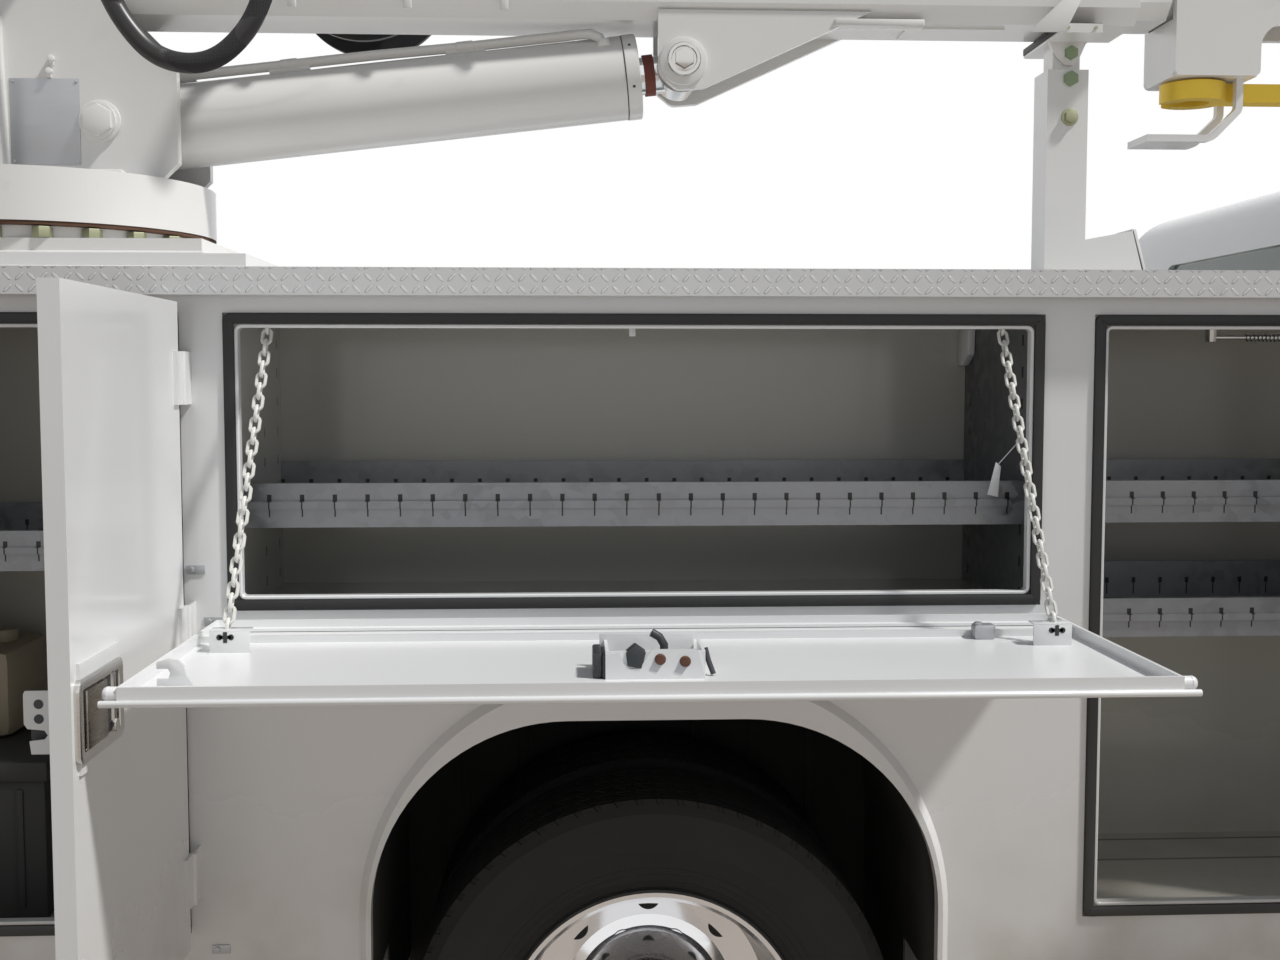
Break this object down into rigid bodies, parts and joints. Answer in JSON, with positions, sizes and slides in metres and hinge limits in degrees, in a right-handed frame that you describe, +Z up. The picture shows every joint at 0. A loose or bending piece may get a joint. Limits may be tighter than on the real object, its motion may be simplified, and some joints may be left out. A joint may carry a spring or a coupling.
{
  "type": "service crane truck",
  "caption": "Cab chassis truck with a mechanic's service body, open side compartments, drop-down doors and a telescopic hydraulic crane with stabilizer legs.",
  "frame": {"origin": "on the ground at mid length and mid width", "axes": "+X to the front of the truck, +Y to its left side, +Z up"},
  "size_m": [6.415, 3.912, 2.3999],
  "materials": {
    "white_paint": "gloss",
    "tread_plate": "satin",
    "crane_paint": "gloss",
    "chassis_black": "satin",
    "flap_rubber": "matte",
    "leg_steel": "satin",
    "chrome": "polished",
    "tyre": "matte",
    "galvanised": "satin",
    "glass": "clear",
    "lamp_clear": "clear",
    "lamp_red": "gloss",
    "black_plastic": "matte",
    "seat_cloth": "woven",
    "hook_yellow": "worn"
  },
  "bodies": {
    "root": {"cab_shell": "white_paint", "side_pack_left": "white_paint", "side_pack_right": "white_paint", "body_deck": "white_paint", "boom_rest": "white_paint", "door_chains_left": "white_paint", "door_chains_right": "white_paint", "top_plates": "tread_plate", "tail_bumper": "tread_plate", "crane_base": "crane_paint", "chassis_frame": "chassis_black", "rear_axle": "chassis_black", "front_axle_beam": "chassis_black", "leaf_springs": "chassis_black", "powertrain": "chassis_black", "fuel_tank": "chassis_black", "stabilizer_beam": "chassis_black", "cab_steps": "chassis_black", "mud_flaps": "flap_rubber", "front_bumper": "chrome", "shelves": "galvanised", "cab_glass": "glass", "head_lamps": "lamp_clear", "tail_lamps": "lamp_red", "grille": "black_plastic", "dashboard": "black_plastic", "seats": "seat_cloth"},
    "hood": {"hood": "white_paint"},
    "slew": {"turret": "crane_paint", "crane_hose": "flap_rubber"},
    "boom": {"boom_outer": "crane_paint", "winch": "chassis_black"},
    "boom_stage": {"boom_stage": "crane_paint"},
    "boom_tip": {"boom_tip": "crane_paint", "hook": "hook_yellow"},
    "lift_barrel": {"lift_barrel": "crane_paint"},
    "lift_rod": {"lift_rod": "chrome"},
    "tailgate": {"tailgate": "white_paint"},
    "cab_door_left": {"cab_door_left": "white_paint", "door_glass_left": "glass"},
    "knuckle_left": {"knuckle_left": "chassis_black"},
    "front_wheel_left": {"front_tyre_left": "tyre", "front_rim_left": "chrome"},
    "rear_wheels_left": {"rear_tyre_left": "tyre", "rear_rim_left": "chrome"},
    "stabilizer_leg_left": {"stabilizer_leg_left": "leg_steel"},
    "drop_door_left": {"drop_door_left": "white_paint"},
    "rear_door_left": {"rear_door_left": "white_paint"},
    "front_door_left": {"front_door_left": "white_paint"},
    "cab_door_right": {"cab_door_right": "white_paint", "door_glass_right": "glass"},
    "knuckle_right": {"knuckle_right": "chassis_black"},
    "front_wheel_right": {"front_tyre_right": "tyre", "front_rim_right": "chrome"},
    "rear_wheels_right": {"rear_tyre_right": "tyre", "rear_rim_right": "chrome"},
    "stabilizer_leg_right": {"stabilizer_leg_right": "leg_steel"},
    "drop_door_right": {"drop_door_right": "white_paint"},
    "rear_door_right": {"rear_door_right": "white_paint"},
    "front_door_right": {"front_door_right": "white_paint"}
  },
  "joints": [
    {"name": "hood_lift", "type": "hinge", "parent": "root", "child": "hood", "pos_m": [1.9575, 0, 1.397], "axis": [0, -1, 0], "range_deg": [0, 60]},
    {"name": "tailgate_drop", "type": "hinge", "parent": "root", "child": "tailgate", "pos_m": [-2.8815, 0, 0.948], "axis": [0, -1, 0], "range_deg": [0, 90]},
    {"name": "slew", "type": "hinge", "parent": "root", "child": "slew", "pos_m": [-2.4995, -0.895, 1.74], "axis": [0, 0, 1], "continuous": true},
    {"name": "boom_lift", "type": "hinge", "parent": "slew", "child": "boom", "pos_m": [-2.5595, -0.895, 2.3], "axis": [0, -1, 0], "range_deg": [0, 75], "deforming": ["crane_hose"]},
    {"name": "stage_slide", "type": "slide", "parent": "boom", "child": "boom_stage", "axis": [1, 0, 0], "range_m": [0, 0.9]},
    {"name": "tip_slide", "type": "slide", "parent": "boom_stage", "child": "boom_tip", "axis": [1, 0, 0], "range_m": [0, 0.9]},
    {"name": "barrel_tilt", "type": "hinge", "parent": "slew", "child": "lift_barrel", "pos_m": [-2.3575, -0.895, 1.919], "axis": [0, -1, 0], "range_deg": [0, 70]},
    {"name": "rod_stroke", "type": "slide", "parent": "lift_barrel", "child": "lift_rod", "axis": [0.9931, 0, 0.1173], "range_m": [0, 0.515]},
    {"name": "cab_door_left", "type": "hinge", "parent": "root", "child": "cab_door_left", "pos_m": [1.7865, 0.996, 1], "axis": [0, 0, -1], "range_deg": [0, 65]},
    {"name": "steer_left", "type": "hinge", "parent": "root", "child": "knuckle_left", "pos_m": [2.2425, 0.78, 0.405], "axis": [0, 0, 1], "range_deg": [-35, 35]},
    {"name": "front_wheel_left", "type": "hinge", "parent": "knuckle_left", "child": "front_wheel_left", "pos_m": [2.2425, 0, 0.405], "axis": [0, 1, 0], "continuous": true},
    {"name": "rear_wheels_left", "type": "hinge", "parent": "root", "child": "rear_wheels_left", "pos_m": [-1.4575, 0, 0.405], "axis": [0, 1, 0], "continuous": true},
    {"name": "leg_left", "type": "slide", "parent": "root", "child": "stabilizer_leg_left", "axis": [0, 0, -1], "range_m": [0, 0.363]},
    {"name": "drop_door_left", "type": "hinge", "parent": "root", "child": "drop_door_left", "pos_m": [-1.4575, 1.214, 1.118], "axis": [1, 0, 0], "range_deg": [0, 90], "deforming": ["door_chains_left"]},
    {"name": "rear_door_left", "type": "hinge", "parent": "root", "child": "rear_door_left", "pos_m": [-2.1745, 1.232, 1.1], "axis": [0, 0, 1], "range_deg": [0, 90]},
    {"name": "front_door_left", "type": "hinge", "parent": "root", "child": "front_door_left", "pos_m": [-0.0525, 1.232, 1.1], "axis": [0, 0, 1], "range_deg": [0, 90]},
    {"name": "cab_door_right", "type": "hinge", "parent": "root", "child": "cab_door_right", "pos_m": [1.7865, -0.996, 1], "axis": [0, 0, 1], "range_deg": [0, 65]},
    {"name": "steer_right", "type": "hinge", "parent": "root", "child": "knuckle_right", "pos_m": [2.2425, -0.78, 0.405], "axis": [0, 0, 1], "range_deg": [-35, 35]},
    {"name": "front_wheel_right", "type": "hinge", "parent": "knuckle_right", "child": "front_wheel_right", "pos_m": [2.2425, 0, 0.405], "axis": [0, 1, 0], "continuous": true},
    {"name": "rear_wheels_right", "type": "hinge", "parent": "root", "child": "rear_wheels_right", "pos_m": [-1.4575, 0, 0.405], "axis": [0, 1, 0], "continuous": true},
    {"name": "leg_right", "type": "slide", "parent": "root", "child": "stabilizer_leg_right", "axis": [0, 0, -1], "range_m": [0, 0.363]},
    {"name": "drop_door_right", "type": "hinge", "parent": "root", "child": "drop_door_right", "pos_m": [-1.4575, -1.214, 1.118], "axis": [-1, 0, 0], "range_deg": [0, 90], "deforming": ["door_chains_right"]},
    {"name": "rear_door_right", "type": "hinge", "parent": "root", "child": "rear_door_right", "pos_m": [-2.1745, -1.232, 1.1], "axis": [0, 0, -1], "range_deg": [0, 90]},
    {"name": "front_door_right", "type": "hinge", "parent": "root", "child": "front_door_right", "pos_m": [-0.0525, -1.232, 1.1], "axis": [0, 0, -1], "range_deg": [0, 90]}
  ],
  "couplings": [
    {"joint": "barrel_tilt", "follows": "boom_lift", "ratio": 0.92354},
    {"joint": "rod_stroke", "follows": "boom_lift", "m_per_rad": 0.39061},
    {"joint": "steer_right", "follows": "steer_left", "ratio": 1}
  ]
}
